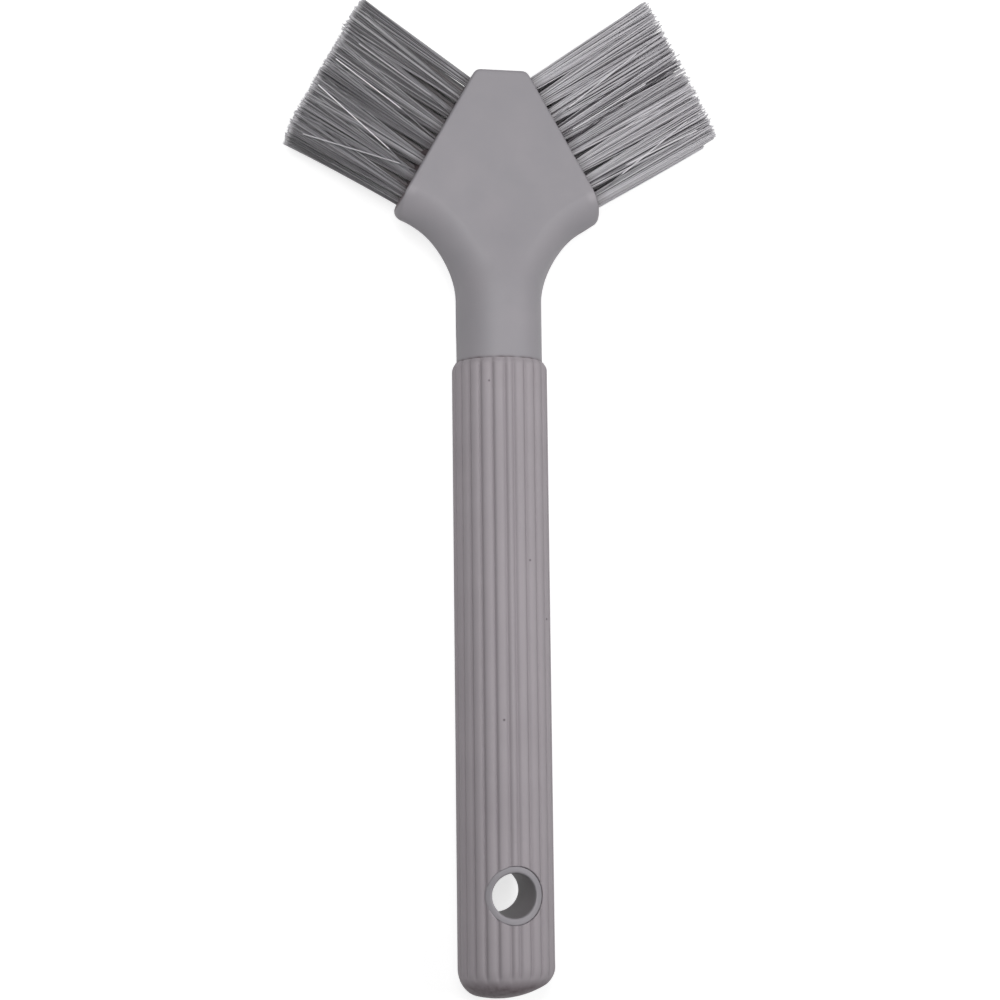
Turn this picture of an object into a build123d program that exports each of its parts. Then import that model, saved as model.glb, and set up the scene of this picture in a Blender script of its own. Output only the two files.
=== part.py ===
from build123d import *
import math
import os

# A two-sided grout brush: a kite-shaped hard plastic head with a bristle block on each slanted
# side, a round neck, and a ribbed soft grip with an eyelet to hang it by.
# The brush lies on its back: +Y runs along the handle towards the head, +X across the head and
# +Z up out of the front face. The grip rests on Z = 0, and the origin is the middle of the
# footprint. A height is a distance from the butt of the grip along the handle.
# Lengths are in millimetres and angles in degrees.

# Handle core: hard moulding of head, neck, tang and eyelet
neck_step = 0.9                   # how far the grip stands out from the neck
neck_length = 15.0                # from the grip's rim to where the shoulders start to flare
shoulder_radius = 21.0
shoulder_land = 0.2               # half of the flat strip left along the parting line
side_face_rise = 35.1             # from the head's low corners up to its flat top
head_top_half_width = 6.3
head_half_thickness = 7.2
side_face_angle = 29.5            # slant of the two tuft faces from the handle axis
head_top_corner_radius = 2.0
head_low_corner_radius = 2.5
head_edge_radius = 0.8
blend_length = 26.5               # stretch over which the round neck sinks into the flat face
blend_half_width = 17.0
blend_sink = 0.3
tang_end = 6.0                    # height of the tang's end

# Eyelet round the hanging hole
eyelet_height = 24.3              # height of the hole's axis
hole_radius = 5.2
eyelet_wall = 1.55
eyelet_drop = 0.1                 # how far the eyelet's rim lies below the rib crests
hole_mouth_bevel = 0.8
eyelet_rim_bevel = 0.3

# Grip sleeve: soft ribbed moulding over the tang
grip_radius = 11.5
grip_wall = 2.2
grip_length = 150.5
ribs_per_side = 11                # ribs between the narrow front rib and the narrow back rib
front_rib_angle = 10.8
groove_radius = 0.6               # to the corners of the groove's six-sided profile
groove_depth = 0.5
groove_start = 5.5                # height where the grooves fade into the rounded end
rim_land = 0.15                   # flat that the bevel leaves at the sleeve's upper end
rim_bevel_length = 1.6
butt_crown_radius = 22.0
butt_crown_offset = -2.0          # the crown of the soft end sits a little to one side
butt_edge_radius = 3.5
eyelet_gap = 0.25                 # shadow gap between the eyelet and the sleeve

# Tufts: folded bundles of filament, packed in drilled holes
outer_row_tuft_count = 8
block_low_margin = 5.15           # from the low corner to the middle of the first tuft
block_top_margin = 2.97           # from the middle of the last tuft to the flat top
outer_row_cover = 3.3             # from the head's face to the middle of the outer row
tuft_hole_wall = 0.7              # least wall between the holes of two rows
tuft_hole_depth = 6.0
tuft_clearance = 0.05
bristle_lean_angle = 3.0          # the holes lean this much from square, towards the top
block_fan_angle = 2.0             # extra lean of the end tufts, up and down
row_fan_angle = 1.5               # lean of the outer rows, towards the front and the back
bristle_length = 33.3
tip_face_angle = 26.0             # slant of the trimmed tips from the handle axis
strands_on_ring = 7
strand_radius = 0.4               # to the corners of its sides
strand_inset = 0.55               # from the hole's wall to the ring of strands at the root
strand_tip_gap = 0.87             # between the rings of two tufts at their tips
strand_root = 0.6                 # length of strand that runs into the root of its tuft

# Anchors: flat wire, wedged across its hole, that holds a folded tuft down
anchor_thickness = 0.35
anchor_height = 1.6
anchor_lift = 0.4                 # height of the anchor above the bottom of the hole
anchor_clearance = 0.02

cut_overrun = 1.0
groove_sides = 6
hole_sides = 6
strand_sides = 3
quarter_turn = 90
half_turn = 180
full_turn = 360
sides = {"left": -1, "right": 1}
rows = {"front": 1, "middle": 0, "back": -1}

# Places on the head, as (X, height, Z) with Z measured from the handle's axis
slant = math.radians(side_face_angle)
neck_radius = grip_radius - neck_step
tang_radius = grip_radius - grip_wall
neck_end = grip_length + neck_length
shoulder_centre_x = neck_radius + shoulder_radius
head_low = neck_end + shoulder_radius
head_top = head_low + side_face_rise
head_widest = head_top_half_width + side_face_rise * math.tan(slant)

# The tuft holes fill each side face between its margins
side_face_length = side_face_rise / math.cos(slant)
block_length = side_face_length - block_low_margin - block_top_margin
tuft_pitch = block_length / (outer_row_tuft_count - 1)
row_pitch = head_half_thickness - outer_row_cover
tuft_hole_radius = (row_pitch - tuft_hole_wall) / 2
tuft_hole_flat = tuft_hole_radius * math.cos(math.pi / hole_sides)


def direction_at(angle, tilt=0):
    """Direction on the right side: an angle above the X axis, then a tilt towards the front."""
    up, out = math.radians(angle), math.radians(tilt)
    return Vector(math.cos(up) * math.cos(out), math.sin(up) * math.cos(out), math.sin(out))


up_side_face = direction_at(side_face_angle + quarter_turn)
low_corner = Vector(head_widest, head_low, 0)
block_centre = low_corner + up_side_face * (block_low_margin + block_length / 2)
block_direction = direction_at(side_face_angle + bristle_lean_angle)
tip_normal = direction_at(tip_face_angle)

# The tufts fan out, so they stand further apart at their tips than at their roots
tuft_spread = math.sin(math.radians(block_fan_angle)) * bristle_length * tuft_pitch / block_length
row_spread = math.sin(math.radians(row_fan_angle)) * bristle_length
tip_pitch = min(tuft_pitch + 2 * tuft_spread, row_pitch + row_spread)
strand_ring_radius = tuft_hole_radius - strand_inset
strand_tip_ring_radius = (tip_pitch - strand_tip_gap) / 2


def tufts_in(row):
    """The middle row has one tuft less, so that the rows are staggered."""
    return outer_row_tuft_count - 1 if rows[row] == 0 else outer_row_tuft_count


def tuft_root(row, number):
    """Middle of a tuft's hole on the right side face. Number 0 is the lowest."""
    along = (number - (tufts_in(row) - 1) / 2) * tuft_pitch
    return block_centre + up_side_face * along + Vector(0, 0, rows[row] * row_pitch)


def tuft_direction(row, number):
    """Direction in which a tuft leaves the right side face."""
    along = (tuft_root(row, number) - block_centre).dot(up_side_face)
    lean = bristle_lean_angle + block_fan_angle * along / (block_length / 2)
    return direction_at(side_face_angle + lean, row_fan_angle * rows[row])


def tuft_length(row, number):
    """Length of a tuft from the side face to the trimmed tips."""
    reach = block_centre + block_direction * bristle_length - tuft_root(row, number)
    return reach.dot(tip_normal) / tuft_direction(row, number).dot(tip_normal)


# The highest point is the upper strand of the topmost tuft
topmost = ("front", outer_row_tuft_count - 1)
topmost_tip = tuft_root(*topmost) + tuft_direction(*topmost) * tuft_length(*topmost)
overall_length = topmost_tip.Y + strand_tip_ring_radius * tuft_direction(*topmost).X

# Plane of the head's outline: X across, Y up the handle from the butt, Z out of the front face
face_up = Plane(origin=(0, -overall_length / 2, grip_radius), x_dir=(1, 0, 0), z_dir=(0, 0, 1))


def across(height):
    """Plane square to the handle at a height, with X to the left and Y out of the front face."""
    return Plane(origin=face_up.from_local_coords((0, height, 0)), x_dir=(-1, 0, 0), z_dir=(0, 1, 0))


def on_side(side, vector):
    """A place or direction of the right side, mirrored if the side is the left one."""
    return Vector(vector.X * sides[side], vector.Y, vector.Z)


def tuft_plane(side, row, number):
    """Plane across the mouth of a tuft's hole, with Z out of the hole and X towards the front."""
    root = face_up.from_local_coords(on_side(side, tuft_root(row, number)))
    return Plane(origin=root, x_dir=(0, 0, 1), z_dir=on_side(side, tuft_direction(row, number)))


every_tuft = [
    (side, row, number) for side in sides for row in rows for number in range(tufts_in(row))
]

# Kite: the head's outline with its corners and its front and back edges rounded
with BuildPart() as kite:
    with BuildSketch(face_up.offset(-head_half_thickness)):
        with BuildLine():
            Polyline(
                (-head_top_half_width, head_top),
                (head_top_half_width, head_top),
                (head_widest, head_low),
                (neck_radius, neck_end),
                (-neck_radius, neck_end),
                (-head_widest, head_low),
                close=True,
            )
        make_face()
        _, side_corners, top_corners = vertices().group_by(Axis.Y)
        fillet(top_corners, head_top_corner_radius)
        fillet(side_corners, head_low_corner_radius)
    extrude(amount=2 * head_half_thickness)
    fillet(faces().filter_by(Axis.Z).edges(), head_edge_radius)

# Head: a plate whose concave shoulders are rounded over to the parting line, cut to the kite
with BuildPart() as head:
    with BuildSketch(face_up.offset(-head_half_thickness)):
        with BuildLine():
            Line((0, neck_end), (neck_radius, neck_end))
            CenterArc((shoulder_centre_x, neck_end), shoulder_radius, half_turn, -quarter_turn)
            Line((shoulder_centre_x, head_low), (shoulder_centre_x, head_top))
            Line((shoulder_centre_x, head_top), (0, head_top))
            mirror(about=Plane.YZ)
        make_face()
    extrude(amount=2 * head_half_thickness)
    shoulder_edges = faces().filter_by(Axis.Z).edges().filter_by(GeomType.CIRCLE)
    fillet(shoulder_edges, head_half_thickness - shoulder_land)
    add(kite.part, mode=Mode.INTERSECT)

# Tang: the rod that the grip is moulded over
with BuildPart() as tang:
    with BuildSketch(across(tang_end)):
        Circle(tang_radius)
    extrude(amount=grip_length - tang_end)

# Eyelet: the boss round the hanging hole, cut to the roundness of the grip
with BuildPart() as eyelet:
    with BuildSketch(face_up.offset(-grip_radius)):
        with Locations((0, eyelet_height)):
            Circle(hole_radius + eyelet_wall)
    extrude(amount=2 * grip_radius)
    with BuildSketch(across(0)):
        Circle(grip_radius - eyelet_drop)
    extrude(amount=2 * eyelet_height, mode=Mode.INTERSECT)
    chamfer(edges().filter_by(GeomType.LINE, reverse=True), eyelet_rim_bevel)

# Anchors: one flat wire across the bottom of each tuft's hole, a node for each side
anchors = {}
for side in sides:
    with BuildPart() as anchor_set:
        for row in rows:
            for number in range(tufts_in(row)):
                bottom = tuft_plane(side, row, number).offset(anchor_lift - tuft_hole_depth)
                with BuildSketch(bottom):
                    Rectangle(2 * tuft_hole_flat, anchor_thickness)
        extrude(amount=anchor_height)
    anchors[side] = anchor_set.part
    anchors[side].label = f"anchors_{side}"

# Handle core: the whole hard moulding
with BuildPart() as handle_core:
    blend_shares = (0, 0.2, 0.4, 0.6, 0.8, 1)
    for share in blend_shares:
        ease = (1 - math.cos(math.pi * share)) / 2
        with BuildSketch(across(neck_end + share * blend_length)):
            Ellipse(
                neck_radius + ease * (blend_half_width - neck_radius),
                neck_radius + ease * (head_half_thickness - blend_sink - neck_radius),
            )
    loft()
    with BuildSketch(across(grip_length)):
        Circle(neck_radius)
    extrude(amount=neck_end - grip_length)
    add(head.part)
    add(tang.part)
    add(eyelet.part)
    with BuildSketch(face_up.offset(-grip_radius)):
        with Locations((0, eyelet_height)):
            Circle(hole_radius)
    extrude(amount=2 * grip_radius, mode=Mode.SUBTRACT)
    chamfer(edges(Select.LAST).filter_by(GeomType.LINE, reverse=True), hole_mouth_bevel)
    for place in every_tuft:
        with BuildSketch(tuft_plane(*place).offset(cut_overrun)):
            RegularPolygon(tuft_hole_radius, hole_sides, rotation=half_turn / hole_sides)
    extrude(amount=-(tuft_hole_depth + cut_overrun), mode=Mode.SUBTRACT)
handle_core.part.label = "handle_core"

# Crown form: the dome that shapes the soft end
with BuildPart() as crown_form:
    with BuildSketch(across(butt_crown_radius)):
        with Locations((-butt_crown_offset, 0)):
            Circle(butt_crown_radius)
    extrude(amount=grip_length)
    with Locations(face_up.from_local_coords((butt_crown_offset, butt_crown_radius, 0))):
        Sphere(butt_crown_radius, rotation=(quarter_turn, 0, 0))

# Grip sleeve: ribs, rounded rim and butt, a socket for the tang and a window for the eyelet
groove_flat = groove_radius * math.cos(math.pi / groove_sides)
groove_circle = grip_radius + groove_flat - groove_depth
with BuildPart() as grip_sleeve:
    with BuildSketch(across(0)):
        Circle(grip_radius)
    extrude(amount=grip_length)
    add(crown_form.part, mode=Mode.INTERSECT)
    fillet(faces().sort_by(Axis.Y)[0].edges(), butt_edge_radius)
    rim = faces().sort_by(Axis.Y)[-1]
    chamfer(rim.edges(), neck_step - rim_land, rim_bevel_length, reference=rim)
    with BuildSketch(across(groove_start)):
        for start in (quarter_turn, -quarter_turn):
            with PolarLocations(
                groove_circle,
                ribs_per_side + 1,
                start_angle=start + front_rib_angle / 2,
                angular_range=half_turn - front_rib_angle,
                endpoint=True,
            ):
                RegularPolygon(groove_radius, groove_sides, rotation=half_turn / groove_sides)
    extrude(amount=grip_length, mode=Mode.SUBTRACT)
    add(tang.part, mode=Mode.SUBTRACT)
    with BuildSketch(face_up.offset(-grip_radius - cut_overrun)):
        with Locations((0, eyelet_height)):
            Circle(hole_radius + eyelet_wall + eyelet_gap)
    extrude(amount=2 * (grip_radius + cut_overrun), mode=Mode.SUBTRACT)
grip_sleeve.part.label = "grip_sleeve"


def make_strand(plane, length, angle=None):
    """One strand, in the middle of its tuft or leaning out of it at an angle."""
    outward = Vector(0, 0, 0)
    if angle is not None:
        outward = Vector(math.cos(math.radians(angle)), math.sin(math.radians(angle)), 0)
    root = outward * strand_ring_radius - Vector(0, 0, strand_root)
    tip = outward * strand_tip_ring_radius + Vector(0, 0, length)
    run = plane.from_local_coords(tip) - plane.from_local_coords(root)
    with BuildSketch(plane.offset(root.Z)) as section:
        with Locations((root.X, root.Y)):
            RegularPolygon(strand_radius, strand_sides, rotation=(angle or 0) + half_turn)
    return extrude(section.sketch, amount=run.length, dir=run.normalized(), mode=Mode.PRIVATE)


def make_tuft(side, row, number):
    """A tuft: the packed root in its hole, slotted over the anchor, and its strands."""
    plane = tuft_plane(side, row, number)
    length = tuft_length(row, number)
    ring_angles = [full_turn * step / strands_on_ring for step in range(strands_on_ring)]
    strands = [make_strand(plane, length)]
    strands += [make_strand(plane, length, angle) for angle in ring_angles]
    with BuildPart() as tuft:
        with BuildSketch(plane):
            RegularPolygon(
                tuft_hole_radius - tuft_clearance, hole_sides, rotation=half_turn / hole_sides
            )
        extrude(amount=tuft_clearance - tuft_hole_depth)
        with BuildSketch(plane.offset(-tuft_hole_depth)):
            Rectangle(2 * tuft_hole_radius, anchor_thickness + 2 * anchor_clearance)
        extrude(amount=anchor_lift + anchor_height + anchor_clearance, mode=Mode.SUBTRACT)
        add(strands)
    tuft.part.label = f"tuft_{side}_{row}_{number + 1}"
    return tuft.part


tufts = [make_tuft(*place) for place in every_tuft]

os.makedirs("parts", exist_ok=True)
for piece in [handle_core.part, grip_sleeve.part, *anchors.values(), *tufts]:
    export_step(piece, f"parts/{piece.label}.step")
print(f"overall length {overall_length:.2f}, {len(tufts)} tufts, ", end="")
print(f"{len(tufts) * (strands_on_ring + 1)} strands")
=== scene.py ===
# %% [markdown]
# # A grout brush in Blender
# The brush has a kite-shaped head of hard plastic with a block of stiff bristles on each slanted
# side, a round neck, and a ribbed soft grip with an eyelet to hang it by. The CAD model has its
# sizes and its solids. This file gives each piece the surface that the eye expects. It starts by
# loading the CAD model, because every new piece has to sit exactly where its solid is.

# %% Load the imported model
import math

import bmesh
import bpy
import numpy as np
from mathutils import Matrix, Vector


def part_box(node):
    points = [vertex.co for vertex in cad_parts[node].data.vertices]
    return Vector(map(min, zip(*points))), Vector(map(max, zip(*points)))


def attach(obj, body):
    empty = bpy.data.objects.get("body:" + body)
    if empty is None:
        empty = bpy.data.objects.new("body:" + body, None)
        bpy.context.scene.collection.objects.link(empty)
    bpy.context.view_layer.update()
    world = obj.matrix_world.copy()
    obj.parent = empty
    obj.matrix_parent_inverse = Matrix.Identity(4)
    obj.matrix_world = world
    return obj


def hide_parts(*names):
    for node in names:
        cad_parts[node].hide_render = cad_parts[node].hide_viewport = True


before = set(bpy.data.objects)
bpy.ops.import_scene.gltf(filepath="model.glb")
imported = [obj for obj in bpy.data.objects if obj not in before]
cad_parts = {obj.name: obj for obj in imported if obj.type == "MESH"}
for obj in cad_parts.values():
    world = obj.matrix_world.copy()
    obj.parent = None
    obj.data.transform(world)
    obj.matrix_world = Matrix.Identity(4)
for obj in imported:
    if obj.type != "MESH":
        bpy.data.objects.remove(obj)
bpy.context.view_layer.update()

MM = 0.001

# %% [markdown]
# ## Sizes
# A brush is easiest to describe along its handle. So the pieces are worked out in millimetres with
# X across, a height from the butt of the grip, and Z out of the front, measured from the middle of
# the handle. The frame gives the main sizes. The others repeat named sizes of the CAD model.

# %% Sizes that the frame gives
grip_low, grip_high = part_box("grip_sleeve")
_, core_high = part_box("handle_core")
butt = Vector((0, grip_low.y, (grip_low.z + grip_high.z) / 2))
grip_radius = (grip_high.x - grip_low.x) / 2 / MM
grip_length = (grip_high.y - grip_low.y) / MM
head_top = (core_high.y - butt.y) / MM
eyelet_radius = (core_high.z - butt.z) / MM
print(f"grip {2 * grip_radius:.1f} across and {grip_length:.1f} long, head top at {head_top:.1f}")

# %% Sizes repeated from the CAD model, in millimetres and degrees
neck_radius = 10.35
neck_end = 165.5
shoulder_radius = 21.0
head_top_half_width = 6.3
head_half_thickness = 7.2
side_face_angle = 29.5
hole_height = 24.3
hole_radius = 5.2
eyelet_wall = 1.55
tuft_hole_radius = 1.6
print(f"neck {2 * neck_radius:.1f} across, hanging hole {2 * hole_radius:.1f} across")


def to_row(points):
    """Millimetres along the handle to metres in the row frame."""
    return np.asarray(points) * MM + np.array(butt)


def from_row(points):
    """Metres in the row frame to millimetres along the handle."""
    return (np.asarray(points) - np.array(butt)) / MM


# %% [markdown]
# ## Camera
# The photograph was taken from the front, a little to the left and from below the middle, with a
# long lens, so the brush shows slightly turned about its handle. Its place comes from the outline
# of the brush in the photograph. The camera aims at a point on the handle's axis, and a small roll
# tips the brush as it is there.

# %% Set the camera
camera_place = Vector((-0.1092, -0.0576, 0.5260))
camera_aim = Vector((-0.0002, -0.0026, butt.z))
camera_roll = math.radians(-0.67)
camera_data = bpy.data.cameras.new("photo_camera")
camera_data.sensor_width = 36
camera_data.lens = 79.2
camera_data.clip_start = 0.01
camera = bpy.data.objects.new("photo_camera", camera_data)
bpy.context.scene.collection.objects.link(camera)
bpy.context.scene.camera = camera
back = (camera_place - camera_aim).normalized()
right = Vector((0, 1, 0)).cross(back).normalized()
level = Matrix((right, back.cross(right), back)).transposed()
turned = level @ Matrix.Rotation(camera_roll, 3, "Z")
camera.matrix_world = Matrix.Translation(camera_place) @ turned.to_4x4()
print(f"camera {(camera_place - camera_aim).length:.3f} m from its aim")

# %% [markdown]
# ## Helpers for colour and nodes
# Colours are written as they look on a screen, in hex, and one function turns them to the linear
# light that Blender works in. One more function adds a shader node with its settings and links.


# %% Colour and node helpers
def linear(hex_colour):
    """An sRGB hex colour as linear red, green, blue and alpha."""
    channels = [int(hex_colour[i : i + 2], 16) / 255 for i in (1, 3, 5)]
    light = [c / 12.92 if c <= 0.04045 else ((c + 0.055) / 1.055) ** 2.4 for c in channels]
    return (*light, 1.0)


def add_node(tree, kind, settings=None, links=None):
    """Add a node. settings holds its properties and input values, and links its inputs' sources."""
    node = tree.nodes.new(kind)
    for name, value in (settings or {}).items():
        if isinstance(name, int) or name in node.inputs:
            node.inputs[name].default_value = value
        else:
            setattr(node, name, value)
    for name, source in (links or {}).items():
        tree.links.new(source, node.inputs[name])
    return node


def new_material(name):
    """An empty material, its node tree, and the output node that its shader goes to."""
    material = bpy.data.materials.new(name)
    material.use_nodes = True
    material.node_tree.nodes.clear()
    return material, material.node_tree, add_node(material.node_tree, "ShaderNodeOutputMaterial")


# %% [markdown]
# ## Floor and light
# The brush lies on a plain white floor. A photographer lights such a floor until it is almost white
# in the picture, but as much light would bleach the brush. So the floor glows here, and only where
# it is seen: by the camera, in a reflection or through something clear. The glow doesn't light the
# brush, and the floor still takes the brush's shadow.

# %% Floor
floor_half_width = 1.5
floor_drop = 0.0002
floor_glow = 0.72

floor_mesh = bpy.data.meshes.new("floor")
corner_signs = ((-1, -1), (1, -1), (1, 1), (-1, 1))
floor_corners = [(x * floor_half_width, y * floor_half_width, 0) for x, y in corner_signs]
floor_mesh.from_pydata(floor_corners, [], [(0, 1, 2, 3)])
floor = bpy.data.objects.new("floor", floor_mesh)
floor.location.z = -floor_drop
bpy.context.scene.collection.objects.link(floor)


def seen_directly(tree):
    """The socket that is 1 for rays from the camera, a reflection or a see-through surface."""
    path = add_node(tree, "ShaderNodeLightPath")
    seen = add_node(tree, "ShaderNodeMath", {"operation": "MAXIMUM"},
                    {0: path.outputs["Is Camera Ray"], 1: path.outputs["Is Glossy Ray"]})
    seen = add_node(tree, "ShaderNodeMath", {"operation": "MAXIMUM"},
                    {0: seen.outputs[0], 1: path.outputs["Is Transmission Ray"]})
    return seen.outputs[0]


floor_paint, tree, output = new_material("white_floor_paint")
lift = add_node(tree, "ShaderNodeMath", {"operation": "MULTIPLY", 1: floor_glow},
                {0: seen_directly(tree)})
glow = add_node(tree, "ShaderNodeEmission", None, {"Strength": lift.outputs[0]})
paint = add_node(tree, "ShaderNodeBsdfDiffuse", {"Color": linear("#CFCFCF")})
both = add_node(tree, "ShaderNodeAddShader", None, {0: glow.outputs[0], 1: paint.outputs[0]})
tree.links.new(both.outputs[0], output.inputs["Surface"])
floor_mesh.materials.append(floor_paint)
print(f"floor {2 * floor_half_width} m wide, {len(tree.nodes)} nodes in its material")

# %% [markdown]
# The light in the photograph is soft and frontal: the neck is lightest in the middle, falls off to
# the left, and stays light on the right. One soft lamp stands beside the camera and a second one
# far to the right. The room looks white where it is seen, but it lights the brush only dimly and
# fills in the rest. Together they light a surface that faces the camera at a level of about one, at
# which a colour comes out as it is written.

# %% Lamps and room
brush_middle = Vector((0, 0, butt.z))
room_light = 0.1


def add_lamp(name, place, power, size):
    """A square soft lamp that points at the middle of the brush."""
    lamp_data = bpy.data.lights.new(name, "AREA")
    lamp_data.energy = power
    lamp_data.size = size
    lamp = bpy.data.objects.new(name, lamp_data)
    lamp.location = place
    lamp.rotation_euler = (Vector(place) - brush_middle).to_track_quat("Z", "Y").to_euler()
    bpy.context.scene.collection.objects.link(lamp)
    print(f"{name}: {power} W, {size} m wide")


add_lamp("right_lamp", (0.28, -0.01, 0.34), 0.76, 0.25)
add_lamp("left_lamp", (-0.14, 0.08, 0.41), 0.955, 0.25)

room = bpy.data.worlds.new("pale_room")
bpy.context.scene.world = room
room.use_nodes = True
tree = room.node_tree
tree.nodes.clear()
lit = add_node(tree, "ShaderNodeBackground", {"Color": linear("#FFFFFF"), "Strength": room_light})
shown = add_node(tree, "ShaderNodeBackground", {"Color": linear("#FFFFFF"), "Strength": 1.0})
mix = add_node(tree, "ShaderNodeMixShader", None,
               {0: seen_directly(tree), 1: lit.outputs[0], 2: shown.outputs[0]})
add_node(tree, "ShaderNodeOutputWorld", None, {"Surface": mix.outputs[0]})
bpy.context.scene.view_settings.view_transform = "Standard"

# %% [markdown]
# ## Hard plastic
# The head, the neck and the eyelet are one moulding, most likely of polypropylene, in a warm grey.
# Its mould was spark eroded, which leaves a fine even grain: the plastic shines softly and shows no
# sharp reflection. The grain is a noise used as a bump. A real one is about 0.1 mm wide, but it is
# drawn three times as coarse, because a finer one would be lost between the pixels. A second, wide
# noise varies the colour a little, as the pigment does in a real moulding. Painted shade darkens
# the rows of holes, the wall of the hanging hole and the joint with the grip, and a painted
# highlight makes the outer ends of the shoulders a little paler.

# %% Polypropylene
grain_width = 0.3
grain_height = 0.02
pigment_cloud_width = 9.0

polypropylene, tree, output = new_material("spark_eroded_polypropylene")
place = add_node(tree, "ShaderNodeTexCoord").outputs["Object"]
cloud = add_node(tree, "ShaderNodeTexNoise",
                 {"Scale": 1 / (pigment_cloud_width * MM), "Detail": 3.0}, {"Vector": place})
colour = add_node(tree, "ShaderNodeValToRGB", None, {"Fac": cloud.outputs["Fac"]})
colour.color_ramp.elements[0].position = 0.3
colour.color_ramp.elements[0].color = linear("#9A979C")
colour.color_ramp.elements[1].position = 0.7
colour.color_ramp.elements[1].color = linear("#9F9BA0")
# Painted shade: the mesh's shade numbers mix in a dark reddish colour between the tufts, inside the
# hanging hole and at the grip's rim.
shade_amount = add_node(tree, "ShaderNodeAttribute", {"attribute_name": "painted_shade_mask"})
# Painted highlight: the ridge numbers mix in a paler grey along the outer ends of the shoulders.
ridge_highlight = add_node(tree, "ShaderNodeAttribute", {"attribute_name": "painted_ridge_highlight"})
highlighted = add_node(tree, "ShaderNodeMix", {"data_type": "RGBA", 7: linear("#B6B1B6")},
                   {0: ridge_highlight.outputs["Fac"], 6: colour.outputs["Color"]})
painted_shade = add_node(tree, "ShaderNodeMix", {"data_type": "RGBA", 7: linear("#4C3D40")},
                 {0: shade_amount.outputs["Fac"], 6: highlighted.outputs[2]})
grain = add_node(tree, "ShaderNodeTexNoise",
                 {"Scale": 1 / (grain_width * MM), "Detail": 2.0}, {"Vector": place})
relief = add_node(tree, "ShaderNodeBump", {"Strength": 0.25, "Distance": grain_height * MM},
                  {"Height": grain.outputs["Fac"]})
plastic = add_node(tree, "ShaderNodeBsdfPrincipled", {"Roughness": 0.56, "IOR": 1.49},
                   {"Base Color": painted_shade.outputs[2], "Normal": relief.outputs["Normal"]})
tree.links.new(plastic.outputs[0], output.inputs["Surface"])
print(f"{polypropylene.name}: {len(tree.nodes)} nodes, grain {grain_width} mm wide")

# %% [markdown]
# ## Soft grip
# The grip is a thermoplastic rubber, moulded over the tang. It is softer and more matt than the
# head and a touch warmer in tone. Its grooves are painted darker than the ribs, as shade. Each
# point of the grip's mesh says how deep in a groove it lies, and the material reads that. The butt
# is painted darker in uneven patches, as shade, and a few dark specks lie on the ribs. The grain of
# the mould is drawn twice as coarse as the real one, so that it shows at all.

# %% Thermoplastic rubber
smudge_width = 14.0
groove_shade = 0.3

rubber, tree, output = new_material("moulded_thermoplastic_rubber")
place = add_node(tree, "ShaderNodeTexCoord").outputs["Object"]
smudge = add_node(tree, "ShaderNodeTexNoise",
                  {"Scale": 1 / (smudge_width * MM), "Detail": 4.0}, {"Vector": place})
tone = add_node(tree, "ShaderNodeValToRGB", None, {"Fac": smudge.outputs["Fac"]})
tone.color_ramp.elements[0].position = 0.3
tone.color_ramp.elements[0].color = linear("#A69FA4")
tone.color_ramp.elements[1].position = 0.7
tone.color_ramp.elements[1].color = linear("#ACA5AA")
depth = add_node(tree, "ShaderNodeAttribute", {"attribute_name": "groove_depth"})
# Painted shade: the deeper in a groove, the more of a darker grey is mixed in.
shade_amount = add_node(tree, "ShaderNodeMath", {"operation": "MULTIPLY", 1: groove_shade},
                {0: depth.outputs["Fac"]})
painted_shade = add_node(tree, "ShaderNodeMix", {"data_type": "RGBA", 7: linear("#6E686C")},
                 {0: shade_amount.outputs[0], 6: tone.outputs["Color"]})
print(f"{rubber.name}: dust covers up to {groove_shade} of a groove")

# %% Painted shade at the butt
butt_shade_patch_width = 1.6
butt_shade_from, butt_shade_full = 5.2, 3.0
patch_contrast, patch_lift = 0.9, 0.3

# Painted shade: the rounded butt gets darker towards its end, in uneven patches.
height = add_node(tree, "ShaderNodeSeparateXYZ", None, {"Vector": place})
low_end = add_node(tree, "ShaderNodeMapRange",
                   {"From Min": butt.y + butt_shade_from * MM, "From Max": butt.y + butt_shade_full * MM},
                   {"Value": height.outputs["Y"]})
patches = add_node(tree, "ShaderNodeTexNoise",
                   {"Scale": 1 / (butt_shade_patch_width * MM), "Detail": 4.0}, {"Vector": place})
patchy = add_node(tree, "ShaderNodeMath",
                  {"operation": "MULTIPLY_ADD", 1: patch_contrast, 2: patch_lift},
                  {0: patches.outputs["Fac"]})
butt_shade = add_node(tree, "ShaderNodeMath", {"operation": "MULTIPLY", "use_clamp": True},
                 {0: low_end.outputs[0], 1: patchy.outputs[0]})
painted_shade = add_node(tree, "ShaderNodeMix", {"data_type": "RGBA", 7: linear("#63575B")},
                 {0: butt_shade.outputs[0], 6: painted_shade.outputs[2]})
print(f"grime up to {butt_shade_from} mm above the butt")

# %% Specks on the ribs
speck_radius, speck_core = 0.42, 0.1
grip_specks = [(-4.7, 144.8), (9.5, 88.5), (-2.2, 64.8), (-10.4, 22.1), (4.7, 102.2)]

for x, speck_height in grip_specks:
    middle = to_row([x, speck_height, math.sqrt(grip_radius**2 - x**2)])
    away = add_node(tree, "ShaderNodeVectorMath", {"operation": "DISTANCE", 1: tuple(middle)},
                    {0: place})
    spot = add_node(tree, "ShaderNodeMapRange",
                    {"From Min": speck_radius * MM, "From Max": speck_core * MM, "To Max": 0.8},
                    {"Value": away.outputs["Value"]})
    painted_shade = add_node(tree, "ShaderNodeMix", {"data_type": "RGBA", 7: linear("#4A4246")},
                     {0: spot.outputs[0], 6: painted_shade.outputs[2]})
print(len(grip_specks), "specks")

# %% Grain and shine of the rubber
rubber_grain_width = 0.22

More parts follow.
